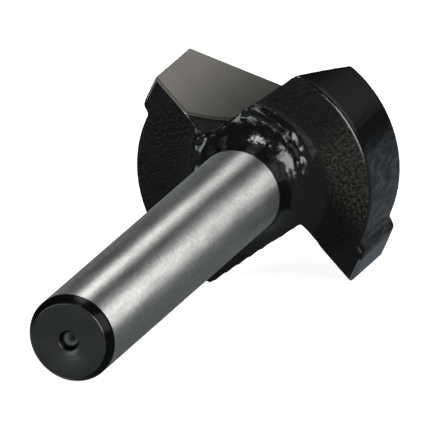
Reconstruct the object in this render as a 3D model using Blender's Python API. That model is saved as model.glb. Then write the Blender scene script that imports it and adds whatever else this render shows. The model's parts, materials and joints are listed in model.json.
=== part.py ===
"""Two-flute V-groove router bit with limiter sectors, lying as it comes to rest on a bench.

The bit is drawn along its own axis, in metres. The head's back face is at z = 0, the V point is at +z and
the shank runs down to -z. Flute 1 has its cutting edge near -Y and its face towards +X, and flute 2 is the
same turned by half a turn. An empty then lays the whole bit down on three points of contact.
"""
from math import acos, asin, atan, atan2, cos, pi, radians, sin, sqrt, tan

import bmesh
import bpy
from mathutils import Matrix, Vector

MM = 0.001

# Shank and neck
SHANK_RADIUS = 6.35 * MM
SHANK_LENGTH = 70.6 * MM
CHAMFER_LENGTH = 1.4 * MM
CHAMFER_DEPTH = 0.95 * MM
PAINTED_NECK = 5.9 * MM
NECK_FILLET = 4.35 * MM

# Centre drilled in the shank's end face
CENTRE_RADIUS = 1.55 * MM
CENTRE_ANGLE = radians(60)
PILOT_RADIUS = 0.65 * MM
PILOT_DEPTH = 1.5 * MM

# Cutting form
CUTTING_RADIUS = 20.0 * MM
EDGE_LENGTH = 13.0 * MM
POINT_ANGLE = radians(90)
FACE_SETBACK = 1.15 * MM
LAND_WIDTH = 4.3 * MM
RELIEF_ANGLE = radians(18)
HEEL_RADIUS = 0.6 * MM
STEP_ANGLE = radians(72)
STEP_DRIFT = radians(1.4)

# Limiter sectors, which hold back how deep each edge can bite
BITE = 2.2 * MM
RIM_SETBACK = 0.9 * MM
RIM_BREAK = 0.3 * MM

# Chip gullets
CORE_RADIUS = 9.1 * MM
WALL_FLARE = radians(6.3)
WALL_LEAN = radians(18)
WEB = 2.4 * MM

# Carbide tips, brazed in open pockets
TIP_THICKNESS = 3.2 * MM
BRAZE_GAP = 0.3 * MM
SHOULDER = 0.5 * MM
FOOT_MARGIN = 4.3 * MM
FOOT_ANGLE = radians(53)
TIP_CURVE = 40.0 * MM
NOSE_MARGIN = 1.0 * MM
BARE_POINT = 3.5 * MM

# Fineness of the round surfaces
ARC_STEP = radians(4)
LAND_LEAD = radians(8)
LAND_STEPS = 4
HEEL_STEPS = 4
FILLET_STEPS = 8
TIP_CURVE_STEPS = 6
SMOOTH_BELOW = radians(25)

FLUTES = 2
HALF_TURN = pi
POINT_HEIGHT = EDGE_LENGTH + CUTTING_RADIUS / tan(POINT_ANGLE / 2)
AXIAL_RAKE = atan(FACE_SETBACK / POINT_HEIGHT)
NOSE_HEIGHT = POINT_HEIGHT - BARE_POINT
LIMITER_RADIUS = CUTTING_RADIUS - BITE
OUTSIDE = 2 * CUTTING_RADIUS


def face_x(z):
    """How far along X the face of flute 1 stands at height z. It comes on centre at the V point."""
    return -(POINT_HEIGHT - z) * tan(AXIAL_RAKE)


def corner_angle(z):
    """Direction of flute 1's cutting edge on the straight part of the head."""
    return -pi / 2 + asin(face_x(z) / CUTTING_RADIUS)


def limiter_outline():
    """Half a turn of the head's outline behind the land, as points (angle behind the edge, radius).

    It starts at the land's end at the back face, and runs round the heel, down the step and along the
    limiter as far as the next gullet. Angles count backwards from the cutting edge at the back face.
    """
    along, inward = cos(RELIEF_ANGLE), sin(RELIEF_ANGLE)
    land_end = Vector((LAND_WIDTH * along, CUTTING_RADIUS - LAND_WIDTH * inward))
    centre = land_end - HEEL_RADIUS * Vector((inward, along))
    points = []
    for i in range(HEEL_STEPS + 1):
        a = RELIEF_ANGLE + (STEP_ANGLE - RELIEF_ANGLE) * i / HEEL_STEPS
        points.append(centre + HEEL_RADIUS * Vector((sin(a), cos(a))))

    # The step runs straight from the heel until it meets the limiter's circle.
    step = Vector((cos(STEP_ANGLE), -sin(STEP_ANGLE)))
    middle = points[-1].dot(step)
    length = -middle - sqrt(middle ** 2 - (points[-1].length_squared - LIMITER_RADIUS ** 2))
    points.append(points[-1] + length * step)

    outline = [(atan2(p.x, p.y), p.length) for p in points]
    first, last = outline[-1][0], HALF_TURN - LAND_LEAD
    steps = round((last - first) / ARC_STEP)
    outline += [(first + (last - first) * i / steps, LIMITER_RADIUS) for i in range(1, steps + 1)]
    return outline


def outline_points(z):
    """The head's whole outline at height z, as (x, y, share of the way down from edge to land's end).

    The land is drawn straight through the cutting edge and a little beyond it, so that the gullet cuts
    the edge itself. The heel and the step drift backwards as they rise.
    """
    start = corner_angle(0)
    edge = Vector((CUTTING_RADIUS * cos(corner_angle(z)), CUTTING_RADIUS * sin(corner_angle(z))))
    drift = STEP_DRIFT * z / EDGE_LENGTH
    behind = []
    for angle, radius in limiter_outline():
        a = start - angle - (drift if angle < HALF_TURN / 2 else 0)
        behind.append(Vector((radius * cos(a), radius * sin(a))))
    points = []
    for flute in range(FLUTES):
        side = 1 - 2 * flute
        for i in range(-1, LAND_STEPS):
            share = i / LAND_STEPS
            points.append((*(side * edge.lerp(behind[0], share)), share))
        points += [(*(side * p), 1) for p in behind]
    return points


def round_ring(radius, z):
    """A circle with a point behind each point of the head's outline."""
    return [(radius * Vector((x, y, 0)).normalized()) + Vector((0, 0, z)) for x, y, _ in outline_points(0)]


def cam_ring(z, inset=0.0):
    """The head's outline on its straight part, at one height."""
    ring = []
    for x, y, _ in outline_points(z):
        p = Vector((x, y))
        p *= 1 - inset / p.length
        ring.append(Vector((p.x, p.y, z)))
    return ring


def shoulder_ring():
    """The outline where the straight part ends and the V starts. It drops behind each cutting edge."""
    return [Vector((x, y, EDGE_LENGTH - RIM_SETBACK * share)) for x, y, share in outline_points(EDGE_LENGTH)]


def nose_ring():
    """The V's flanks cut off square at the nose. All of them run to the V point."""
    ring = []
    for p in shoulder_ring():
        share = BARE_POINT / (POINT_HEIGHT - p.z)
        ring.append(Vector((p.x * share, p.y * share, NOSE_HEIGHT)))
    return ring


def loft(name, rings, start_point=None, end_point=None):
    """A closed mesh through rings of equally many points, ended by a point or by a flat face."""
    bm = bmesh.new()
    loops = [[bm.verts.new(p) for p in ring] for ring in rings]
    for low, high in zip(loops, loops[1:]):
        for i in range(len(low)):
            bm.faces.new((low[i - 1], low[i], high[i], high[i - 1]))
    for loop, point in ((loops[0], start_point), (loops[-1], end_point)):
        if point is None:
            bm.faces.new(loop)
            continue
        apex = bm.verts.new(point)
        for i in range(len(loop)):
            bm.faces.new((loop[i - 1], loop[i], apex))
    bmesh.ops.recalc_face_normals(bm, faces=bm.faces)
    mesh = bpy.data.meshes.new(name)
    bm.to_mesh(mesh)
    bm.free()
    return mesh


def make_object(name, mesh, parent, material=None):
    obj = bpy.data.objects.new(name, mesh)
    bpy.context.collection.objects.link(obj)
    obj.parent = parent
    if material is not None:
        mesh.materials.append(material)
    return obj


def make_guide(name, mesh, parent):
    """A shape that only cuts or trims others."""
    obj = make_object(name, mesh, parent)
    obj.hide_render = True
    obj.display_type = 'WIRE'
    return obj


def boolean(obj, operation, other):
    modifier = obj.modifiers.new(other.name, 'BOOLEAN')
    modifier.operation = operation
    modifier.solver = 'EXACT'
    modifier.object = other


def principled(name, colour, metallic, roughness):
    material = bpy.data.materials.new(name)
    material.use_nodes = True
    shader = material.node_tree.nodes["Principled BSDF"]
    shader.inputs["Base Color"].default_value = (*colour, 1.0)
    shader.inputs["Metallic"].default_value = metallic
    shader.inputs["Roughness"].default_value = roughness
    material.diffuse_color = (*colour, 1.0)
    return material


def smooth_round_faces(mesh):
    mesh.shade_smooth()
    mesh.set_sharp_from_angle(angle=SMOOTH_BELOW)


def body_mesh():
    """Shank, neck and head as one turned and milled blank, before the gullets and pockets are cut."""
    cone_depth = (CENTRE_RADIUS - PILOT_RADIUS) / tan(CENTRE_ANGLE / 2)
    end = -SHANK_LENGTH
    pilot_end = end + cone_depth + PILOT_DEPTH
    rings = [
        round_ring(PILOT_RADIUS, pilot_end),
        round_ring(PILOT_RADIUS, end + cone_depth),
        round_ring(CENTRE_RADIUS, end),
        round_ring(SHANK_RADIUS - CHAMFER_DEPTH, end),
        round_ring(SHANK_RADIUS, end + CHAMFER_LENGTH),
        round_ring(SHANK_RADIUS, -PAINTED_NECK),
    ]
    for i in range(FILLET_STEPS + 1):
        a = pi / 2 * i / FILLET_STEPS
        radius = SHANK_RADIUS + NECK_FILLET * (1 - cos(a))
        rings.append(round_ring(radius, -NECK_FILLET * (1 - sin(a))))
    rings += [cam_ring(0, RIM_BREAK), cam_ring(RIM_BREAK), shoulder_ring(), nose_ring()]
    mesh = loft("body", rings, start_point=Vector((0, 0, pilot_end + PILOT_RADIUS * tan(CENTRE_ANGLE / 2))))
    smooth_round_faces(mesh)
    return mesh


def head_blank_mesh():
    """The cutting form run up to a full V point, which trims the carbide tips."""
    return loft("head_blank", [cam_ring(0), shoulder_ring()], end_point=Vector((0, 0, POINT_HEIGHT)))


def gullet_mesh():
    """The wedge milled out ahead of flute 1, between its face and the back wall of flute 2."""
    def section(z):
        x = face_x(z)
        depth = max(CORE_RADIUS - z * tan(WALL_LEAN), WEB / 2)
        return [
            Vector((x, -depth, z)),
            Vector((x, -OUTSIDE, z)),
            Vector((OUTSIDE, -OUTSIDE, z)),
            Vector((OUTSIDE, -depth + (OUTSIDE - x) * tan(WALL_FLARE), z)),
        ]

    web_height = (CORE_RADIUS - WEB / 2) / tan(WALL_LEAN)
    return loft("gullet", [section(-NECK_FILLET / 2), section(web_height), section(OUTSIDE)])


def tip_outline(grow=0.0):
    """A tip's outline in its own face, as (across, up) points from the back face.

    The inner edge is an arc at the foot, which runs on as a straight line to the steel's nose. The tip's
    last stretch stands bare beyond the nose. grow moves the seated sides outwards, for the pocket.
    """
    foot = SHOULDER + BRAZE_GAP
    centre = Vector((-CORE_RADIUS - FOOT_MARGIN - TIP_CURVE * sin(FOOT_ANGLE), foot + TIP_CURVE * cos(FOOT_ANGLE)))
    nose = Vector((-WEB / 2 - NOSE_MARGIN, NOSE_HEIGHT + BRAZE_GAP))
    reach = nose - centre
    line_angle = atan2(reach.y, reach.x) + asin(TIP_CURVE / reach.length)

    radius = TIP_CURVE + grow
    foot_angle = acos((TIP_CURVE * cos(FOOT_ANGLE) + grow) / radius)
    points = [Vector((-OUTSIDE, foot - grow))]
    for i in range(TIP_CURVE_STEPS + 1):
        a = foot_angle + (line_angle - foot_angle) * i / TIP_CURVE_STEPS
        points.append(centre + radius * Vector((sin(a), -cos(a))))
    points.append(nose + grow * Vector((sin(line_angle), -cos(line_angle))))
    points[-1].y = nose.y
    points.append(Vector((-BRAZE_GAP / 2, nose.y)))
    points.append(Vector((-BRAZE_GAP / 2, OUTSIDE)))
    points.append(Vector((-OUTSIDE, OUTSIDE)))
    return points


def face_plate(name, outline, front, back):
    """A prism on an outline drawn in flute 1's face, from front to back along the face's normal."""
    up = POINT_HEIGHT
    rings = [[Vector((x, p.x, p.y - up)) for p in outline] for x in (front, back)]
    mesh = loft(name, rings)
    mesh.transform(Matrix.Translation((0, 0, up)) @ Matrix.Rotation(AXIAL_RAKE, 4, 'Y'))
    return mesh


def wall_corner(z):
    """Where the gullet's wall meets the limiter's circle, on flute 2's back."""
    x, y = face_x(z), -CORE_RADIUS + z * tan(WALL_LEAN)
    along = Vector((cos(WALL_FLARE), sin(WALL_FLARE)))
    middle = x * along.x + y * along.y
    length = -middle + sqrt(middle ** 2 - (x ** 2 + y ** 2 - LIMITER_RADIUS ** 2))
    return Vector((x, y)) + length * along


def lay_down(rest):
    """Set the empty so that the bit lies on flute 2's corner, flute 1's wall corner and the shank's end."""
    angle = corner_angle(RIM_BREAK)
    edge = -CUTTING_RADIUS * Vector((cos(angle), sin(angle)))
    wall = -wall_corner(RIM_BREAK)
    chord = (edge - wall).normalized()
    down = Vector((-chord.y, chord.x))
    depth = down.dot(edge)
    tilt = atan((depth - SHANK_RADIUS) / (SHANK_LENGTH - CHAMFER_LENGTH + RIM_BREAK))
    turn = pi / 2 - atan2(down.y, down.x)
    rest.rotation_mode = 'QUATERNION'
    rest.rotation_quaternion = (Matrix.Rotation(tilt - pi / 2, 3, 'X') @ Matrix.Rotation(turn, 3, 'Z')).to_quaternion()
    rest.location.z = depth * cos(tilt) - RIM_BREAK * sin(tilt)


def centre_on_floor(rest, parts):
    """Move the empty so that the middle of the whole bit stands over the origin."""
    bpy.context.view_layer.update()
    depsgraph = bpy.context.evaluated_depsgraph_get()
    corners = []
    for part in parts:
        evaluated = part.evaluated_get(depsgraph)
        mesh = evaluated.to_mesh()
        corners += [evaluated.matrix_world @ v.co for v in mesh.vertices]
        evaluated.to_mesh_clear()
    for axis in (0, 1):
        values = [c[axis] for c in corners]
        rest.location[axis] -= (min(values) + max(values)) / 2


def main():
    for obj in list(bpy.data.objects):
        bpy.data.objects.remove(obj, do_unlink=True)

    black_paint = principled("black_paint", (0.012, 0.012, 0.013), 0.0, 0.35)
    ground_steel = principled("ground_steel", (0.62, 0.61, 0.59), 1.0, 0.28)
    carbide = principled("carbide", (0.30, 0.285, 0.265), 1.0, 0.42)

    rest = bpy.data.objects.new("rest_pose", None)
    bpy.context.collection.objects.link(rest)

    mesh = body_mesh()
    body = make_object("body", mesh, rest, black_paint)
    mesh.materials.append(ground_steel)
    for polygon in mesh.polygons:
        heights = [mesh.vertices[i].co.z for i in polygon.vertices]
        if min(heights) > -SHANK_LENGTH and max(heights) < 0 and min(heights) < -PAINTED_NECK - NECK_FILLET:
            polygon.material_index = 1

    head_blank = make_guide("head_blank", head_blank_mesh(), rest)
    tip_mesh = face_plate("carbide_tip", tip_outline(), 0, -TIP_THICKNESS)
    pocket_mesh = face_plate("pocket", tip_outline(BRAZE_GAP), BRAZE_GAP, -TIP_THICKNESS - BRAZE_GAP)
    wedge_mesh = gullet_mesh()

    parts = [body]
    for flute in range(FLUTES):
        turn = Matrix.Rotation(flute * HALF_TURN, 4, 'Z')
        gullet = make_guide(f"gullet_{flute + 1}", wedge_mesh, rest)
        pocket = make_guide(f"pocket_{flute + 1}", pocket_mesh, rest)
        tip = make_object(f"carbide_tip_{flute + 1}", tip_mesh.copy(), rest, carbide)
        for obj in (gullet, pocket, tip):
            obj.matrix_local = turn
        boolean(body, 'DIFFERENCE', gullet)
        boolean(body, 'DIFFERENCE', pocket)
        boolean(tip, 'INTERSECT', head_blank)
        parts.append(tip)

    lay_down(rest)
    centre_on_floor(rest, parts)


main()
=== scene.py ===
"""Looks of a two-flute V-groove router bit: ground shank, black paint, carbide tips and a plain studio.

Everything but the studio is modelled in the bit's own frame, which is worked out from the loaded parts: the
origin is the middle of the head's back face, +Z runs to the V point, and flute 1 has its edge near -Y with
its cutting face towards +X. Flute 2 is the same turned by half a turn.
"""
import json
from math import atan2, cos, exp, pi, radians, sin, tan

import bmesh
import bpy
import numpy as np
from bpy.props import FloatProperty, FloatVectorProperty, PointerProperty
from mathutils import Matrix, Vector, noise


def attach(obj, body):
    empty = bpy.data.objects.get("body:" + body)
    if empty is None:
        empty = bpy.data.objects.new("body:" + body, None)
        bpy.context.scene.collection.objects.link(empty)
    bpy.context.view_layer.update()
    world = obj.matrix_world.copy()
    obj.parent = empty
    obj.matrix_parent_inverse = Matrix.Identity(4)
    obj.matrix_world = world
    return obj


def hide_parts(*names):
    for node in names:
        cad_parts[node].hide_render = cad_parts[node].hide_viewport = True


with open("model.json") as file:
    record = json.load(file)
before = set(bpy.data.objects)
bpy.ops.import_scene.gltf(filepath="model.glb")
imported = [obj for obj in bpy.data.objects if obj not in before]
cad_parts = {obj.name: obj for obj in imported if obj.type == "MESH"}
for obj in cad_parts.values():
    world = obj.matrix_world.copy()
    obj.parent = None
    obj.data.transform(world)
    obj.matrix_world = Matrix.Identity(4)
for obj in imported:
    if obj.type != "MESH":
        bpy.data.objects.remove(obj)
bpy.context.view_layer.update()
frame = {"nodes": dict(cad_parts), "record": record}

bl_info = {
    "name": "V-groove router bit",
    "version": (1, 0, 0),
    "blender": (4, 5, 0),
    "location": "View3D > Sidebar > Router Bit",
    "description": "Builds the looks of a V-groove router bit round its solid parts",
    "category": "Object",
}

MM = 0.001
ROOT = "root"
FLUTES = 2
UP = Vector((0, 0, 1))
TINY = 0.001 * MM

# How far a cutter stands clear of the sides that it leaves open
OPEN = 0.7 * MM

# How far the shank and the painted neck run past the paint's edge before they are trimmed
NECK_OVERLAP = 1.5 * MM

# The head is all that lies further than this from the axis
HEAD_INSIDE = 12 * MM

# Middle and half width of the ridge of paint round the neck's fillet
LIP_MIDDLE = Vector((1.5, -2.2)) * MM
LIP_WIDTH = 0.7 * MM


# Sizes and colours that a user would change

class BitSizes(bpy.types.PropertyGroup):
    """Sizes of the finished surfaces"""
    painted_neck: FloatProperty(
        name="Painted neck", description="How far the paint reaches down the shank from the head's back face",
        default=5.9 * MM, unit='LENGTH')
    paint: FloatProperty(
        name="Paint", description="Thickness of the paint over the steel", default=0.06 * MM, unit='LENGTH')
    grain: FloatProperty(
        name="Skin size", description="Size of the small faces that carry the paint's lumps",
        default=0.25 * MM, unit='LENGTH')
    runs: FloatProperty(
        name="Runs", description="Height of the lumps where paint has gathered on the neck",
        default=0.13 * MM, unit='LENGTH')
    lip: FloatProperty(
        name="Lip", description="Height of the ridge of paint round the neck's fillet",
        default=0.45 * MM, unit='LENGTH')
    lip_radius: FloatProperty(
        name="Lip radius", description="Radius of that ridge, whose middle lies off the axis",
        default=8.0 * MM, unit='LENGTH')
    braze: FloatProperty(
        name="Braze", description="Width of the braze seam round each tip", default=0.3 * MM, unit='LENGTH')
    chamfer_length: FloatProperty(
        name="Chamfer length", description="Length of the chamfer on the shank's end",
        default=1.4 * MM, unit='LENGTH')
    chamfer_depth: FloatProperty(
        name="Chamfer depth", description="Depth of the chamfer on the shank's end",
        default=0.95 * MM, unit='LENGTH')
    centre_radius: FloatProperty(
        name="Centre radius", description="Mouth of the centre drilled in the shank's end",
        default=1.55 * MM, unit='LENGTH')
    pilot_radius: FloatProperty(
        name="Pilot radius", description="Small bore at the bottom of the drilled centre",
        default=0.65 * MM, unit='LENGTH')
    pilot_depth: FloatProperty(
        name="Pilot depth", description="Length of that bore", default=1.5 * MM, unit='LENGTH')
    ground_depth: FloatProperty(
        name="Ground depth", description="How deep the wheel cuts through the paint into the steel",
        default=0.07 * MM, unit='LENGTH')
    ground_land: FloatProperty(
        name="Ground land", description="Width ground bare behind each straight cutting edge",
        default=3.7 * MM, unit='LENGTH')
    ground_flank: FloatProperty(
        name="Ground flank", description="Width ground bare behind each sloping cutting edge",
        default=4.0 * MM, unit='LENGTH')


class BitColours(bpy.types.PropertyGroup):
    """Colours of the finishes"""
    paint: FloatVectorProperty(
        name="Paint", description="Colour of the black paint", subtype='COLOR', size=3,
        default=(0.0025, 0.0025, 0.0026))
    # Dull skin colour of the cast back faces. It is also laid on as painted sheen in patches where the lamps
    # would catch the leathery skin
    dust_and_sheen: FloatVectorProperty(
        name="Dust", description="Colour of the dull skin on the cast back faces", subtype='COLOR', size=3,
        default=(0.046, 0.043, 0.034))
    # Painted reflection: the bluish grey that the band round the head shows on its lower side
    band_reflection: FloatVectorProperty(
        name="Rubbed paint", description="Colour of the scuffed paint round the head",
        subtype='COLOR', size=3, default=(0.029, 0.034, 0.038))
    steel: FloatVectorProperty(
        name="Ground steel", description="Colour of the bare ground steel", subtype='COLOR', size=3,
        default=(0.62, 0.615, 0.60))
    carbide: FloatVectorProperty(
        name="Carbide", description="Colour of the ground carbide", subtype='COLOR', size=3,
        default=(0.62, 0.59, 0.54))
    # Painted shade and painted reflection: a darker, bluish copy of the carbide and steel for the sides
    # behind the cutting edges
    relief_shade: FloatVectorProperty(
        name="Relief", description="Colour of the carbide and steel behind the cutting edges",
        subtype='COLOR', size=3, default=(0.30, 0.34, 0.37))
    braze: FloatVectorProperty(
        name="Braze", description="Colour of the braze seam", subtype='COLOR', size=3,
        default=(0.10, 0.085, 0.065))
    blacking: FloatVectorProperty(
        name="Blacking", description="Colour of the blackened shank end", subtype='COLOR', size=3,
        default=(0.014, 0.0155, 0.015))


class StudioLight(bpy.types.PropertyGroup):
    """Brightness of the studio"""
    top: FloatProperty(
        name="Top box", description="Power of the soft box overhead", default=1.35, unit='POWER')
    side: FloatProperty(
        name="Side box", description="Power of the tall soft box at the right", default=3.9, unit='POWER')
    back: FloatProperty(
        name="Back box", description="Power of the dim soft box behind the bit", default=0.1, unit='POWER')
    front: FloatProperty(
        name="Front box", description="Power of the soft box at the front left", default=1.0, unit='POWER')
    room: FloatProperty(
        name="Room", description="Brightness of the even light from all round", default=0.3)


# The bit's own frame, read from the loaded parts

def tool_matrix():
    """Place of the bit's own frame in the row frame."""
    z = -Vector(frame["record"]["mounts"][0]["axis"]).normalized()
    tips = []
    for flute in range(FLUTES):
        mesh = frame["nodes"][f"carbide_tip_{flute + 1}"].data
        tips.append(sum((v.co for v in mesh.vertices), Vector()) / len(mesh.vertices))
    middle = (tips[0] + tips[1]) / 2
    out = tips[0] - middle
    y = -(out - out.dot(z) * z).normalized()
    rough_x = y.cross(z)
    face = Vector()
    for polygon in frame["nodes"]["carbide_tip_1"].data.polygons:
        if polygon.normal.dot(rough_x) > 0.7:
            face += polygon.area * polygon.normal
    x = (face - face.dot(z) * z).normalized()
    turn = Matrix((x, z.cross(x), z)).transposed()
    body = [v.co - middle for v in frame["nodes"]["body"].data.vertices]
    back_face = min(p.dot(z) for p in body if (p - p.dot(z) * z).length > HEAD_INSIDE)
    return Matrix.Translation(middle + back_face * z) @ turn.to_4x4()


TOOL = tool_matrix()

# The solid body in the bit's own frame, and the heights of its shank's end and of its blunt nose
BODY_POINTS = [TOOL.inverted() @ v.co for v in frame["nodes"]["body"].data.vertices]
SHANK_END = (TOOL.inverted() @ Vector(frame["record"]["mounts"][0]["pos_m"])).z
NOSE = max(p.z for p in BODY_POINTS)


def frame_bmesh(node, matrix):
    """A CAD node's mesh, joined up and moved by matrix."""
    bm = bmesh.new()
    bm.from_mesh(frame["nodes"][node].data)
    bm.transform(matrix)
    bmesh.ops.remove_doubles(bm, verts=bm.verts, dist=TINY)
    bmesh.ops.recalc_face_normals(bm, faces=bm.faces)
    return bm


def flute_turn(flute):
    return Matrix.Rotation(flute * pi, 4, 'Z')


def tip_bmesh(flute):
    """One carbide tip, turned back to where flute 1's stands."""
    return frame_bmesh(f"carbide_tip_{flute + 1}", flute_turn(flute).inverted() @ TOOL.inverted())


def tip_side(normal):
    """What a side of flute 1's tip is, by the way that it faces."""
    if normal.x > 0.5:
        return "face"
    if normal.z > 0.3:
        return "flank"
    if normal.y < -0.5:
        return "land"
    if normal.x < -0.5:
        return "back"
    if normal.z < -0.97:
        return "foot"
    return "inner"


def side_plane(tip, side):
    """Mean normal of one side of a tip, and a point on it."""
    faces = [f for f in tip.faces if tip_side(f.normal) == side]
    area = sum(f.calc_area() for f in faces)
    normal = sum((f.calc_area() * f.normal for f in faces), Vector()).normalized()
    return normal, sum((f.calc_area() * f.calc_center_median() for f in faces), Vector()) / area


def edge_corners(tip):
    """The low and the high end of a tip's straight cutting edge."""
    same_reach, edge_lean = 0.05 * MM, 0.6 * MM
    reach = max(v.co.xy.length for v in tip.verts)
    outermost = [v.co.copy() for v in tip.verts if v.co.xy.length > reach - same_reach]
    in_front = max(p.x for p in outermost)
    ends = [p for p in outermost if p.x > in_front - edge_lean]
    return min(ends, key=lambda p: p.z), max(ends, key=lambda p: p.z)


def back_from_edge(normal, edge):
    """Direction along a ground side, square to its edge, that runs away from the cutting face."""
    back = normal.cross(edge).normalized()
    return -back if back.x > 0 else back


def move_sides(tip, moves):
    """Move each side of a tip along its own normal, so that the sides stay flat and meet again."""
    nearly_level = 0.02
    steps = {}
    for vert in tip.verts:
        normals = np.array([f.normal for f in vert.link_faces])
        distances = np.array([moves[tip_side(f.normal)] for f in vert.link_faces])
        steps[vert] = np.linalg.lstsq(normals, distances, rcond=nearly_level)[0]
    for vert, step in steps.items():
        vert.co += Vector(step)
    return tip


def seat(flute, gap, reach):
    """Flute 1's tip grown by a gap where it is brazed, and by a reach where it is ground."""
    return move_sides(tip_bmesh(flute), {
        "back": gap, "foot": gap, "inner": gap, "face": reach, "land": reach, "flank": reach})


# Small helpers for meshes

def new_object(name, mesh, materials=()):
    obj = bpy.data.objects.new(name, mesh)
    bpy.context.scene.collection.objects.link(obj)
    for material in materials:
        mesh.materials.append(material)
    return obj


def hand_over(obj, slot, *replaced):
    """Move a piece made in the bit's own frame to its place, and tie it to the bit."""
    obj.data.transform(TOOL)
    if replaced:
        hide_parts(*replaced)
    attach(obj, ROOT)


def mesh_from(bm, name):
    mesh = bpy.data.meshes.new(name)
    bm.to_mesh(mesh)
    bm.free()
    return mesh


def apply_modifiers(obj):
    """Swap the object's mesh for the one that its modifiers make."""
    depsgraph = bpy.context.evaluated_depsgraph_get()
    mesh = bpy.data.meshes.new_from_object(obj.evaluated_get(depsgraph), depsgraph=depsgraph)
    obj.modifiers.clear()
    old = obj.data
    obj.data = mesh
    bpy.data.meshes.remove(old)


def cut_away(obj, cutter):
    """Take a cutter's shape off a piece, whose new faces get the cutter's material."""
    modifier = obj.modifiers.new("cut", 'BOOLEAN')
    modifier.operation = 'DIFFERENCE'
    modifier.solver = 'MANIFOLD'
    modifier.material_mode = 'TRANSFER'
    modifier.object = cutter
    apply_modifiers(obj)
    if not obj.data.polygons:
        raise RuntimeError(f"{cutter.name} left nothing of {obj.name}")
    bpy.data.objects.remove(cutter)


def trim(bm, z, keep):
    """Cut a mesh level at a height, keep what is above or below it, and close the cut flat."""
    geometry = bm.verts[:] + bm.edges[:] + bm.faces[:]
    bmesh.ops.bisect_plane(bm, geom=geometry, plane_co=(0, 0, z), plane_no=UP,
                           clear_inner=(keep == "above"), clear_outer=(keep == "below"))
    bmesh.ops.holes_fill(bm, edges=[e for e in bm.edges if e.is_boundary])
    bmesh.ops.recalc_face_normals(bm, faces=bm.faces)


def shade(mesh, angle):
    mesh.shade_smooth()
    mesh.set_sharp_from_angle(angle=angle)


def smoothstep(low, high, value):
    t = min(max((value - low) / (high - low), 0), 1)
    return t * t * (3 - 2 * t)


# Small helpers for materials

def feed(tree, socket, value):
    """Link a node's output to a socket, or set the socket's own value."""
    if isinstance(value, bpy.types.NodeSocket):
        tree.links.new(value, socket)
    elif socket.type == 'RGBA':
        socket.default_value = (*value[:3], 1)
    else:
        socket.default_value = value


def feed_all(tree, made, inputs):
    for key, value in inputs.items():
        feed(tree, made.inputs[key], value)


def node(tree, kind, inputs=None, **settings):
    made = tree.nodes.new(kind)
    for name, value in settings.items():
        setattr(made, name, value)
    feed_all(tree, made, inputs or {})
    return made


def maths(tree, operation, a, b=0.0, clamp=False):
    return node(tree, 'ShaderNodeMath', {0: a, 1: b}, operation=operation, use_clamp=clamp).outputs[0]


def product(tree, *factors):
    """The factors multiplied together, and held between 0 and 1 at the end."""
    result = factors[0]
    for factor in factors[1:]:
        result = maths(tree, 'MULTIPLY', result, factor)
    result.node.use_clamp = True
    return result


def dot(tree, vector, axis):
    inputs = {0: vector, 1: axis}
    return node(tree, 'ShaderNodeVectorMath', inputs, operation='DOT_PRODUCT').outputs["Value"]


def mapped(tree, value, low, high, to_low=0.0, to_high=1.0):
    inputs = {"Value": value, "From Min": low, "From Max": high, "To Min": to_low, "To Max": to_high}
    return node(tree, 'ShaderNodeMapRange', inputs, interpolation_type='SMOOTHSTEP').outputs[0]


def grains(tree, vector, scale, detail=2.0, roughness=0.5):
    inputs = {"Vector": vector, "Scale": scale, "Detail": detail, "Roughness": roughness}
    return node(tree, 'ShaderNodeTexNoise', inputs).outputs["Fac"]


def blend_colours(tree, factor, first, second):
    return node(tree, 'ShaderNodeMix', {0: factor, 6: first, 7: second}, data_type='RGBA').outputs[2]


def blend_values(tree, factor, first, second):
    return node(tree, 'ShaderNodeMix', {0: factor, 2: first, 3: second}, data_type='FLOAT').outputs[0]


def toned(colour, share):
    """A colour made darker, or lighter where the share is above 1."""
    return [share * c for c in colour]


def bump(tree, height, distance, strength=1.0, normal=None):
    inputs = {"Height": height, "Distance": distance, "Strength": strength}
    if normal is not None:
        inputs["Normal"] = normal
    return node(tree, 'ShaderNodeBump', inputs).outputs[0]


def start_material(name):
    """A material with its shader, and the place of each point in the bit's own frame."""
    material = bpy.data.materials.new(name)
    material.use_nodes = True
    tree = material.node_tree
    back = TOOL.inverted()
    place = node(tree, 'ShaderNodeMapping', {
        "Vector": node(tree, 'ShaderNodeTexCoord').outputs["Object"],
        "Location": back.translation, "Rotation": back.to_euler()}).outputs[0]
    return material, tree, tree.nodes["Principled BSDF"], place


def empty_material(name):
    material = bpy.data.materials.new(name)
    material.use_nodes = True
    material.node_tree.nodes.clear()
    return material, material.node_tree


def split(tree, place):
    return node(tree, 'ShaderNodeSeparateXYZ', {0: place}).outputs


def axis_radius(tree, place):
    x, y, _ = split(tree, place)
    square = maths(tree, 'ADD', maths(tree, 'POWER', x, 2), maths(tree, 'POWER', y, 2))
    return maths(tree, 'SQRT', square)


def round_the_axis(tree, place):
    """Direction in the row frame that runs round the bit."""
    inputs = {0: UP, 1: place}
    around = node(tree, 'ShaderNodeVectorMath', inputs, operation='CROSS_PRODUCT').outputs[0]
    return node(tree, 'ShaderNodeMapping', {"Vector": around, "Rotation": TOOL.to_euler()},
                vector_type='NORMAL').outputs[0]


def stretched(tree, place, scale):
    return node(tree, 'ShaderNodeMapping', {"Vector": place, "Scale": scale}).outputs[0]


# Materials

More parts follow.
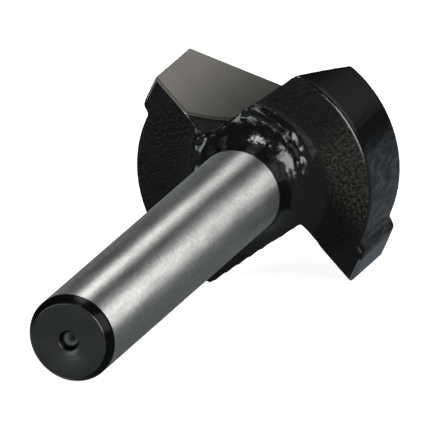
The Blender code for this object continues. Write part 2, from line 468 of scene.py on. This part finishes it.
def ground_lands(tree, place, sizes):
    """1 on the steel behind each straight cutting edge, where the wheel has ground the paint away."""
    edge_blur = 0.05 * MM
    off_plane = (0.3 * MM, 0.4 * MM)
    tip = tip_bmesh(0)
    low, high = edge_corners(tip)
    normal, on_land = side_plane(tip, "land")
    tip.free()
    back = back_from_edge(normal, UP)
    x, y, height = split(tree, place)
    flute_side = maths(tree, 'SIGN', maths(tree, 'MULTIPLY', y, -1))
    point = node(tree, 'ShaderNodeCombineXYZ', {
        0: maths(tree, 'MULTIPLY', x, flute_side), 1: maths(tree, 'MULTIPLY', y, flute_side), 2: height})
    behind = maths(tree, 'SUBTRACT', dot(tree, point.outputs[0], back), low.dot(back))
    above = maths(tree, 'SUBTRACT', dot(tree, point.outputs[0], normal), on_land.dot(normal))
    return product(
        tree,
        mapped(tree, behind, sizes.ground_land - edge_blur, sizes.ground_land + edge_blur, 1, 0),
        mapped(tree, maths(tree, 'ABSOLUTE', above), *off_plane, 1, 0),
        mapped(tree, height, high.z - edge_blur, high.z + edge_blur, 1, 0))


def paint_material(colours, sizes):
    """Thick black paint: glossy runs on the neck, leathery back faces with painted sheen patches, and a
    noise-mottled painted reflection on the band round the head.
    """
    material, tree, shader, place = start_material("black_paint")
    back_face = (0.05 * MM, 0.16 * MM)
    neck_edge = (11.0 * MM, 11.8 * MM)
    rim_start = (12 * MM, 13 * MM)
    band_start = (0.9 * MM, 1.4 * MM)
    heel_start = (14.5 * MM, 16.5 * MM)
    reflection_from = (5 * MM, 11 * MM)
    # Where painted sheen lightens the leathery back faces: a patch at the side and a weaker one near the top
    side_sheen_x, side_sheen_y = (6 * MM, 11 * MM), (0, 6 * MM)
    top_sheen_x, top_sheen_y = (2 * MM, 4 * MM), (-13 * MM, -9 * MM)
    radius = axis_radius(tree, place)
    x, y, height = split(tree, place)
    off_middle = maths(tree, 'ABSOLUTE', y)

    behind = mapped(tree, height, *back_face, 1, 0)
    neck = product(tree, mapped(tree, radius, *neck_edge, 1, 0), behind)
    back = product(tree, behind, maths(tree, 'SUBTRACT', 1.0, neck))
    band = mapped(tree, height, *band_start)
    rim = product(tree, mapped(tree, radius, *rim_start),
                  maths(tree, 'SUBTRACT', mapped(tree, height, *band_start, 1, 0), behind),
                  mapped(tree, off_middle, *heel_start, 1, 0.1))
    heel = product(tree, behind, mapped(tree, off_middle, *heel_start))
    bare = ground_lands(tree, place, sizes)

    leather = grains(tree, place, 2200, detail=3, roughness=0.55)
    patches = grains(tree, place, 130, detail=1)
    lumps = grains(tree, place, 1000, detail=3, roughness=0.6)
    streaks = grains(tree, stretched(tree, place, (1, 1, 0.06)), 1500)
    # Noise that mottles the painted reflection on the band
    reflection_mottle = grains(tree, stretched(tree, place, (1, 1, 0.4)), 1100, detail=4, roughness=0.65)

    skin = bump(tree, leather, 0.17 * MM, mapped(tree, back, 0, 1, 0.15, 1.0))
    runs = bump(tree, lumps, 0.3 * MM, mapped(tree, neck, 0, 1, 0.03, 0.32), normal=skin)
    brushed = bump(tree, streaks, 0.03 * MM, 0.6, normal=runs)

    shine = maths(tree, 'MAXIMUM', neck, rim, clamp=True)
    rough = blend_values(tree, band, mapped(tree, patches, 0.35, 0.65, 0.26, 0.36), 0.2)
    rough = blend_values(tree, heel, rough, 0.5)
    rough = blend_values(tree, shine, rough, 0.17)
    gloss = blend_values(tree, band, blend_values(tree, shine, 0.36, 0.55), 0.2)

    # Painted sheen: the dust colour is laid on as a highlight in two patches, over an even share of dull skin
    # everywhere on the back faces
    side_sheen = product(tree, mapped(tree, x, *side_sheen_x), mapped(tree, y, *side_sheen_y))
    top_sheen = product(tree, mapped(tree, x, *top_sheen_x), mapped(tree, y, *top_sheen_y, 1, 0), 0.25)
    pits = mapped(tree, leather, 0.36, 0.72)
    dust_and_sheen_share = maths(tree, 'ADD', maths(tree, 'ADD', side_sheen, 0.1), top_sheen)
    dust_and_sheen_share = product(tree, dust_and_sheen_share, pits, back)
    # Painted reflection: the band's side further out along y takes a bluish grey as if reflecting the
    # surroundings, mottled by noise
    band_reflection = product(tree, band, mapped(tree, y, *reflection_from), mapped(tree, reflection_mottle, 0.38, 0.66, 0.25, 1))
    colour = blend_colours(tree, dust_and_sheen_share, colours.paint, colours.dust_and_sheen)
    colour = blend_colours(tree, band_reflection, colour, colours.band_reflection)

    # The ground lands take the relief colour, which paints shade and a bluish reflection onto the bare steel
    feed_all(tree, shader, {
        "Base Color": blend_colours(tree, bare, colour, colours.relief_shade), "Metallic": bare,
        "Roughness": blend_values(tree, bare, rough, 0.4), "Specular IOR Level": gloss,
        "IOR": blend_values(tree, shine, 1.37, 1.58), "Normal": brushed})
    return material


def ground_steel_material(colours):
    """Shank ground between centres: fine marks run round it, so highlights stretch along it."""
    material, tree, shader, place = start_material("ground_steel")
    marks = grains(tree, stretched(tree, place, (0.3, 0.3, 1)), 6000)
    cloud = grains(tree, stretched(tree, place, (1, 1, 0.25)), 500, detail=3)
    speckle = maths(tree, 'MULTIPLY', mapped(tree, marks, 0.3, 0.7), 0.7)
    tone = maths(tree, 'ADD', speckle, maths(tree, 'MULTIPLY', cloud, 0.3))
    feed_all(tree, shader, {
        "Base Color": blend_colours(tree, tone, toned(colours.steel, 0.68), toned(colours.steel, 1.18)),
        "Metallic": 1.0, "Roughness": mapped(tree, cloud, 0.3, 0.7, 0.39, 0.45),
        "Anisotropic": 0.9, "Anisotropic Rotation": 0.25,
        "Normal": bump(tree, marks, 0.01 * MM, 0.6), "Tangent": round_the_axis(tree, place)})
    return material


def bare_steel_material(colours):
    """Steel laid bare by grinding the faces and flanks, after painting."""
    material, tree, shader, place = start_material("bare_steel")
    marks = grains(tree, stretched(tree, place, (1, 1, 0.08)), 2500)
    feed_all(tree, shader, {
        "Base Color": blend_colours(tree, marks, toned(colours.steel, 0.5), toned(colours.steel, 0.7)),
        "Metallic": 1.0, "Roughness": mapped(tree, marks, 0.3, 0.7, 0.34, 0.46),
        "Normal": bump(tree, marks, 0.01 * MM, 0.4)})
    return material


def carbide_material(colours):
    """Carbide with fine grinding marks along the cutting face, a painted reflection that darkens it towards
    the bit's middle, and painted shade on its other sides.
    """
    material, tree, shader, place = start_material("carbide")
    dark_inside, bright_outside = 6 * MM, 20 * MM
    marks = grains(tree, stretched(tree, place, (1, 0.12, 1)), 2600, detail=3)
    cloud = grains(tree, place, 190, detail=3)
    mottle = maths(tree, 'ADD', maths(tree, 'MULTIPLY', marks, 0.12), maths(tree, 'MULTIPLY', cloud, 0.24))
    # Painted reflection: the cutting face is made lighter outwards and darker towards the bit's middle
    painted_reflection_gradient = mapped(tree, axis_radius(tree, place), dark_inside, bright_outside)
    tone = maths(tree, 'ADD', mottle, maths(tree, 'MULTIPLY', painted_reflection_gradient, 0.7))
    face = blend_colours(tree, tone, toned(colours.carbide, 0.08), colours.carbide)
    # Every side but the cutting face gets the relief colour: painted shade and a bluish painted reflection
    facing = dot(tree, node(tree, 'ShaderNodeNewGeometry').outputs["Normal"], TOOL.col[0].xyz)
    is_face = mapped(tree, maths(tree, 'ABSOLUTE', facing), 0.9, 0.95)
    feed_all(tree, shader, {
        "Base Color": blend_colours(tree, is_face, colours.relief_shade, face),
        "Metallic": 1.0, "Roughness": mapped(tree, cloud, 0.3, 0.7, 0.39, 0.43),
        "Normal": bump(tree, marks, 0.008 * MM, 0.5)})
    return material


def braze_material(colours):
    """Dull brownish braze, a little rough where it set."""
    material, tree, shader, place = start_material("braze")
    lumps = grains(tree, place, 2200)
    feed_all(tree, shader, {
        "Base Color": blend_colours(tree, lumps, colours.braze, toned(colours.braze, 1.6)),
        "Metallic": 0.8, "Roughness": mapped(tree, lumps, 0.3, 0.7, 0.35, 0.6),
        "Normal": bump(tree, lumps, 0.04 * MM, 0.6)})
    return material


def blacking_material(colours):
    """Blackened shank end: faint rings on its face, a glossy chamfer and a lighter spot in its centre."""
    material, tree, shader, place = start_material("blacking")
    chamfer_start = (SHANK_END + 0.1 * MM, SHANK_END + 0.2 * MM)
    face_edge = (5.1 * MM, 5.3 * MM)
    lighter_centre_edge = (0.8 * MM, 1.1 * MM)
    radius = axis_radius(tree, place)
    rings = node(tree, 'ShaderNodeTexNoise', {"W": radius, "Scale": 2200, "Detail": 2},
                 noise_dimensions='1D').outputs["Fac"]
    cloud = grains(tree, place, 300)
    chamfer = mapped(tree, split(tree, place)[2], *chamfer_start)
    # A much lighter disc round the middle of the drilled centre
    lighter_centre = mapped(tree, radius, *lighter_centre_edge, 1, 0)
    face = blend_colours(tree, cloud, colours.blacking, toned(colours.blacking, 1.5))
    outside = blend_colours(tree, chamfer, face, toned(colours.blacking, 0.15))
    rough = mapped(tree, cloud, 0.3, 0.7, 0.28, 0.4)
    rough = blend_values(tree, mapped(tree, radius, *face_edge), rough, 0.18)
    feed_all(tree, shader, {
        "Base Color": blend_colours(tree, lighter_centre, outside, toned(colours.blacking, 16)),
        "Specular IOR Level": blend_values(tree, chamfer, 0.5, 0.06), "Roughness": rough,
        "Normal": bump(tree, rings, 0.04 * MM, 0.8)})
    return material


# Meshes of the pieces

def ground_slab(corners, normal, thickness):
    """A block standing on a flat outline, to grind away what lies above it."""
    bm = bmesh.new()
    low = [bm.verts.new(c) for c in corners]
    high = [bm.verts.new(c + thickness * normal) for c in corners]
    bm.faces.new(low)
    bm.faces.new(high)
    for i in range(len(low)):
        bm.faces.new((low[i - 1], low[i], high[i], high[i - 1]))
    bmesh.ops.recalc_face_normals(bm, faces=bm.faces)
    return bm


def grinding_cutters(flute, sizes, material):
    """What the wheel takes off one flute once it is painted: face, straight land and sloping flank."""
    ahead, past_foot, past_inner, thickness = 1 * MM, 1.5 * MM, 0.6 * MM, 1 * MM
    tip = tip_bmesh(flute)
    low, high = edge_corners(tip)
    foot = low - past_foot * UP
    point = max((v.co for v in tip.verts), key=lambda p: p.z).copy()
    slabs = []
    for side, edge, ends, width in (("land", UP, (foot, high), sizes.ground_land),
                                    ("flank", point - high, (high, point), sizes.ground_flank)):
        normal, _ = side_plane(tip, side)
        back = back_from_edge(normal, edge)
        start, end = (corner - sizes.ground_depth * normal for corner in ends)
        outline = [start - ahead * back, end - ahead * back, end + width * back, start + width * back]
        slabs.append(ground_slab(outline, normal, thickness))
    face, on_face = side_plane(tip, "face")
    _, on_back = side_plane(tip, "back")
    plate = move_sides(tip, {"face": OPEN, "land": OPEN, "flank": OPEN, "foot": past_foot,
                             "inner": past_inner, "back": -face.dot(on_face - on_back)})
    cutters = []
    for bm in (plate, *slabs):
        bm.transform(flute_turn(flute))
        cutters.append(new_object("grinding", mesh_from(bm, "grinding"), [material]))
    return cutters


def head_mesh(sizes):
    """Neck and head as they are painted, with the tips' pockets filled for grinding later."""
    over_face, over_back, over_inner, over_land = 0.6 * MM, 0.45 * MM, 0.35 * MM, 0.05 * MM
    head = frame_bmesh("body", TOOL.inverted())
    trim(head, -sizes.painted_neck - NECK_OVERLAP, keep="above")
    for flute in range(FLUTES):
        fill = tip_bmesh(flute)
        to_back_face = min(v.co.z for v in fill.verts)
        move_sides(fill, {"face": over_face, "back": over_back, "foot": to_back_face,
                          "inner": over_inner, "land": over_land, "flank": over_land})
        trim(fill, NOSE, keep="below")
        fill.transform(flute_turn(flute))
        part = mesh_from(fill, "fill")
        head.from_mesh(part)
        bpy.data.meshes.remove(part)
    return mesh_from(head, "painted_head")


def paint_skin(mesh, sizes):
    """Thicken the steel by its paint: even on the neck, with runs and a lip round its fillet."""
    coarse_lumps, fine_lumps = 0.75 / MM, 1.5 / MM
    back_face = (-0.1 * MM, 0.3 * MM)
    neck_foot, neck_edge = (-5.6 * MM, -3.2 * MM), (9.8 * MM, 10.8 * MM)
    off_shank = (7.0 * MM, 8.0 * MM)
    fillet_start, fillet_end = (7.2 * MM, 8.2 * MM), (11.4 * MM, 12.2 * MM)
    even_foot = (-2 * MM, 0)
    steps = []
    for v in mesh.vertices:
        radius, height = v.co.xy.length, v.co.z
        facing_back = -v.normal.z
        behind = 1 - smoothstep(*back_face, height)
        coarse = noise.noise(v.co * coarse_lumps + Vector((3.1, 0, 0)))
        fine = noise.noise(v.co * fine_lumps + Vector((0, 7.7, 0)))

        on_neck = (1 - smoothstep(*neck_edge, radius)) * behind * smoothstep(*neck_foot, height)
        gathered = max(smoothstep(0.3, 0.9, facing_back), 1 - smoothstep(*off_shank, radius))
        run = sizes.runs * on_neck * gathered * (0.7 * coarse + 0.35 * fine)

        near_fillet = smoothstep(*fillet_start, radius) * (1 - smoothstep(*fillet_end, radius))
        off_lip = ((v.co.xy - LIP_MIDDLE).length - sizes.lip_radius) / LIP_WIDTH
        lip = sizes.lip * behind * near_fillet * max(facing_back, 0) * exp(-off_lip ** 2)
        even = sizes.paint * (1 - smoothstep(*even_foot, height))
        steps.append((even + run + lip * (1 + 0.7 * coarse)) * v.normal)
    for v, step in zip(mesh.vertices, steps):
        v.co += step


def shank_profile(sizes):
    """The shank's outline as (radius, height) points, from the bottom of the centre to inside the neck."""
    mouth_in, mouth_deep, mouth_out = 0.05 * MM, 0.08 * MM, 0.06 * MM
    bead, bead_steps = 0.192 * MM, 4
    top_in, top_below, top_above = 0.06 * MM, 0.084 * MM, 0.072 * MM
    below_paint, above_paint, inside_neck = 0.25 * MM, 0.5 * MM, 0.3 * MM
    shank = max(p.xy.length for p in BODY_POINTS if p.z < SHANK_END / 2)
    drill_slope = tan(radians(30))
    pilot_mouth = SHANK_END + (sizes.centre_radius - sizes.pilot_radius) / drill_slope
    pilot_end = pilot_mouth + sizes.pilot_depth
    points = [(0, pilot_end + sizes.pilot_radius * drill_slope), (sizes.pilot_radius, pilot_end),
              (sizes.pilot_radius, pilot_mouth),
              (sizes.centre_radius - mouth_in, SHANK_END + mouth_deep),
              (sizes.centre_radius + mouth_out, SHANK_END)]

    slope = atan2(sizes.chamfer_length, sizes.chamfer_depth)
    bead_start = shank - sizes.chamfer_depth - bead * tan(slope / 2)
    for i in range(bead_steps + 1):
        a = slope * i / bead_steps
        points.append((bead_start + bead * sin(a), SHANK_END + bead * (1 - cos(a))))
    chamfer_top = SHANK_END + sizes.chamfer_length
    points += [(shank - top_in, chamfer_top - top_below), (shank, chamfer_top + top_above)]

    paint_edge = -sizes.painted_neck
    points += [(shank, paint_edge - below_paint), (shank, paint_edge + above_paint)]
    points += [(shank - inside_neck, paint_edge + NECK_OVERLAP), (0, paint_edge + NECK_OVERLAP)]
    return points


def turned(points, segments):
    """A closed solid turned from (radius, height) points whose ends lie on the axis."""
    bm = bmesh.new()
    rings = []
    for radius, height in points:
        if radius == 0:
            rings.append([bm.verts.new((0, 0, height))] * segments)
            continue
        turns = [2 * pi * i / segments for i in range(segments)]
        rings.append([bm.verts.new((radius * cos(a), radius * sin(a), height)) for a in turns])
    for low, high in zip(rings, rings[1:]):
        for i in range(segments):
            bm.faces.new(dict.fromkeys((low[i - 1], low[i], high[i], high[i - 1])))
    bmesh.ops.recalc_face_normals(bm, faces=bm.faces)
    return bm


# Operators

class BIT_OT_shank(bpy.types.Operator):
    """Turn the ground shank with its blackened end"""
    bl_idname = "bit.shank"
    bl_label = "Ground shank"

    def execute(self, context):
        sizes, colours = context.scene.bit_sizes, context.scene.bit_colours
        ground, blacked = 0, 1
        ground_from = SHANK_END + sizes.chamfer_length
        centre = sizes.centre_radius * 1.2
        bm = turned(shank_profile(sizes), segments=160)
        for face in bm.faces:
            middle = face.calc_center_median()
            in_centre = middle.xy.length < centre and middle.z < SHANK_END / 2
            face.material_index = blacked if middle.z <= ground_from or in_centre else ground
        mesh = mesh_from(bm, "shank")
        shade(mesh, radians(40))
        shank = new_object("shank", mesh, [ground_steel_material(colours), blacking_material(colours)])
        hand_over(shank, "painted_steel", "body")
        return {'FINISHED'}


class BIT_OT_head(bpy.types.Operator):
    """Cast, paint and grind the head with its neck"""
    bl_idname = "bit.head"
    bl_label = "Painted head"

    def execute(self, context):
        sizes, colours = context.scene.bit_sizes, context.scene.bit_colours
        paint = paint_material(colours, sizes)
        bare = bare_steel_material(colours)
        head = new_object("painted_head", head_mesh(sizes), [paint, bare])
        skin = head.modifiers.new("skin", 'REMESH')
        skin.mode = 'VOXEL'
        skin.voxel_size = sizes.grain
        soften = head.modifiers.new("soften", 'SMOOTH')
        soften.iterations = 7
        soften.factor = 0.5
        apply_modifiers(head)
        paint_skin(head.data, sizes)
        bm = bmesh.new()
        bm.from_mesh(head.data)
        trim(bm, -sizes.painted_neck, keep="above")
        bm.to_mesh(head.data)
        bm.free()
        for flute in range(FLUTES):
            for cutter in grinding_cutters(flute, sizes, bare):
                cut_away(head, cutter)
            pocket = seat(flute, sizes.braze, OPEN)
            pocket.transform(flute_turn(flute))
            cut_away(head, new_object("pocket", mesh_from(pocket, "pocket"), [bare]))
        shade(head.data, radians(30))
        hand_over(head, "painted_steel", "body")
        return {'FINISHED'}


class BIT_OT_tips(bpy.types.Operator):
    """Give the two carbide tips their ground finish"""
    bl_idname = "bit.tips"
    bl_label = "Carbide tips"

    def execute(self, context):
        carbide = carbide_material(context.scene.bit_colours)
        for flute in range(FLUTES):
            tip = frame["nodes"][f"carbide_tip_{flute + 1}"]
            tip.data.materials.clear()
            tip.data.materials.append(carbide)
        return {'FINISHED'}


class BIT_OT_braze(bpy.types.Operator):
    """Run the braze seam round each tip's seat"""
    bl_idname = "bit.braze"
    bl_label = "Braze seams"

    def execute(self, context):
        sizes = context.scene.bit_sizes
        material = braze_material(context.scene.bit_colours)
        clear, sunk, under_nose = 0.01 * MM, -0.03 * MM, 0.05 * MM
        for flute in range(FLUTES):
            seam = seat(flute, sizes.braze - clear, sunk)
            trim(seam, NOSE - under_nose, keep="below")
            seam.transform(flute_turn(flute))
            tip = seat(flute, clear, OPEN)
            tip.transform(flute_turn(flute))
            braze = new_object(f"braze_{flute + 1}", mesh_from(seam, "braze"), [material])
            cut_away(braze, new_object("seat", mesh_from(tip, "seat"), [material]))
            shade(braze.data, radians(30))
            hand_over(braze, "carbide")
        return {'FINISHED'}


# The studio

CAMERA_DISTANCE = 2800 * MM
CAMERA_SHIFT_LEFT = 5.315 * MM
CAMERA_SHIFT_DOWN = 4.932 * MM
CAMERA_FIELD = 60.85 * MM
VIEW_OFF_AXIS = radians(28.8)
VIEW_ROLL = radians(41.131)
BOX_DISTANCE = 600 * MM
FLOOR_RADIUS = 8.0
FLOOR_DROP = 0.02 * MM
FLOOR_GLOW = 0.86
TENT_RADIUS = 1.2
TENT_FOOT = -0.3
CARD_RADIUS = 1.19
CARD_HEIGHT = 0.03 * MM


def camera_matrix():
    """Place of the camera in the row frame. It looks along its own -Z."""
    along, off = Vector((cos(VIEW_ROLL), sin(VIEW_ROLL))), VIEW_OFF_AXIS
    tool_in_view = Matrix((
        (along.x * cos(off), along.y, along.x * sin(off)),
        (along.y * cos(off), -along.x, along.y * sin(off)),
        (sin(off), 0, -cos(off))))
    turn = TOOL.to_3x3() @ tool_in_view.transposed()
    place = TOOL.translation + turn @ Vector((-CAMERA_SHIFT_LEFT, -CAMERA_SHIFT_DOWN, CAMERA_DISTANCE))
    return Matrix.Translation(place) @ turn.to_4x4()


def soft_box(name, direction, width, height, power, colour=(1, 1, 1)):
    """A soft box that faces the bit from a direction in the row frame."""
    light = bpy.data.lights.new(name, 'AREA')
    light.shape = 'RECTANGLE'
    light.size = width
    light.size_y = height
    light.energy = power
    light.color = colour
    box = bpy.data.objects.new(name, light)
    bpy.context.scene.collection.objects.link(box)
    direction = Vector(direction).normalized()
    box.location = TOOL.translation + BOX_DISTANCE * direction
    box.rotation_mode = 'QUATERNION'
    box.rotation_quaternion = direction.to_track_quat('Z', 'Y')
    box.visible_camera = False


def lit_for_view(tree):
    """1 for rays that see the background, straight or in gloss or glass."""
    path = node(tree, 'ShaderNodeLightPath')
    seen = maths(tree, 'ADD', path.outputs["Is Camera Ray"], path.outputs["Is Glossy Ray"])
    return maths(tree, 'ADD', seen, path.outputs["Is Transmission Ray"], clamp=True)


def make_world(room):
    """Even light from all round, against plain white."""
    world = bpy.data.worlds.new("studio")
    bpy.context.scene.world = world
    world.use_nodes = True
    tree = world.node_tree
    tree.nodes.clear()
    even = node(tree, 'ShaderNodeBackground', {"Color": (1, 1, 1), "Strength": room})
    white = node(tree, 'ShaderNodeBackground', {"Color": (1, 1, 1), "Strength": 1.0})
    mix = node(tree, 'ShaderNodeMixShader', {0: lit_for_view(tree), 1: even.outputs[0], 2: white.outputs[0]})
    node(tree, 'ShaderNodeOutputWorld', {"Surface": mix.outputs[0]})


def make_floor():
    """A pale floor that shows white, and keeps a faint shadow of the bit."""
    bm = bmesh.new()
    bmesh.ops.create_circle(bm, cap_ends=True, radius=FLOOR_RADIUS, segments=64)
    material, tree = empty_material("pale_floor")
    matt = node(tree, 'ShaderNodeBsdfDiffuse', {"Color": (0.8, 0.8, 0.8)})
    glow = node(tree, 'ShaderNodeEmission', {"Color": (1, 1, 1), "Strength": FLOOR_GLOW})
    both = node(tree, 'ShaderNodeAddShader', {0: matt.outputs[0], 1: glow.outputs[0]})
    mix = node(tree, 'ShaderNodeMixShader', {0: lit_for_view(tree), 1: matt.outputs[0], 2: both.outputs[0]})
    node(tree, 'ShaderNodeOutputMaterial', {"Surface": mix.outputs[0]})
    floor = new_object("floor", mesh_from(bm, "floor"), [material])
    floor.location.z = -FLOOR_DROP


def dark_card(name, bm, tone, height=0):
    """A dark surface that shows only in the bit's gloss."""
    material, tree = empty_material(name)
    glow = node(tree, 'ShaderNodeEmission', {"Color": tone, "Strength": 1.0})
    node(tree, 'ShaderNodeOutputMaterial', {"Surface": glow.outputs[0]})
    card = new_object(name, mesh_from(bm, name), [material])
    card.location.z = height
    for ray in ("camera", "diffuse", "transmission", "volume_scatter", "shadow"):
        setattr(card, f"visible_{ray}", False)


def make_dark_cards():
    """A dark tent round the bit and a card just over the floor, so that its gloss stays deep."""
    tent = bmesh.new()
    bmesh.ops.create_uvsphere(tent, u_segments=48, v_segments=24, radius=TENT_RADIUS)
    trim(tent, TENT_FOOT, keep="above")
    dark_card("dark_tent", tent, (0.04, 0.04, 0.044))
    card = bmesh.new()
    bmesh.ops.create_circle(card, cap_ends=True, radius=CARD_RADIUS, segments=64)
    dark_card("dark_card", card, (0.15, 0.165, 0.17), CARD_HEIGHT)


class BIT_OT_studio(bpy.types.Operator):
    """Set up the floor, the soft boxes and the camera"""
    bl_idname = "bit.studio"
    bl_label = "Studio"

    def execute(self, context):
        light = context.scene.bit_light
        soft_box("top_box", (0.14, -0.10, 0.985), 0.19, 0.24, light.top)
        soft_box("side_box", (0.875, -0.38, 0.235), 0.5, 0.46, light.side)
        soft_box("back_box", (0.50, 0.75, 0.45), 0.3, 0.3, light.back)
        soft_box("front_box", (-0.55, -0.80, 0.17), 0.5, 0.16, light.front, colour=(0.92, 1, 1))
        make_world(light.room)
        make_floor()
        make_dark_cards()
        lens = bpy.data.cameras.new("camera")
        lens.sensor_width = 36
        lens.lens = lens.sensor_width * CAMERA_DISTANCE / CAMERA_FIELD
        lens.clip_end = 100
        camera = bpy.data.objects.new("camera", lens)
        context.scene.collection.objects.link(camera)
        camera.matrix_world = camera_matrix()
        context.scene.camera = camera
        context.scene.view_settings.view_transform = 'Standard'
        return {'FINISHED'}


class BIT_PT_panel(bpy.types.Panel):
    """Lists the sizes, colours and steps of the bit"""
    bl_label = "Router Bit"
    bl_idname = "BIT_PT_panel"
    bl_space_type = 'VIEW_3D'
    bl_region_type = 'UI'
    bl_category = "Router Bit"

    def draw(self, context):
        for name, kind in GROUPS.items():
            for setting in kind.__annotations__:
                self.layout.prop(getattr(context.scene, name), setting)
        for step in STEPS:
            self.layout.operator(step.bl_idname)


STEPS = (BIT_OT_shank, BIT_OT_head, BIT_OT_tips, BIT_OT_braze, BIT_OT_studio)
GROUPS = {"bit_sizes": BitSizes, "bit_colours": BitColours, "bit_light": StudioLight}


def register():
    for name, kind in GROUPS.items():
        bpy.utils.register_class(kind)
        setattr(bpy.types.Scene, name, PointerProperty(type=kind))
    for step in (*STEPS, BIT_PT_panel):
        bpy.utils.register_class(step)


def unregister():
    for step in reversed((*STEPS, BIT_PT_panel)):
        bpy.utils.unregister_class(step)
    for name, kind in GROUPS.items():
        delattr(bpy.types.Scene, name)
        bpy.utils.unregister_class(kind)


def main():
    register()
    bpy.ops.bit.shank()
    bpy.ops.bit.head()
    bpy.ops.bit.tips()
    bpy.ops.bit.braze()
    bpy.ops.bit.studio()


if __name__ == "__main__":
    main()
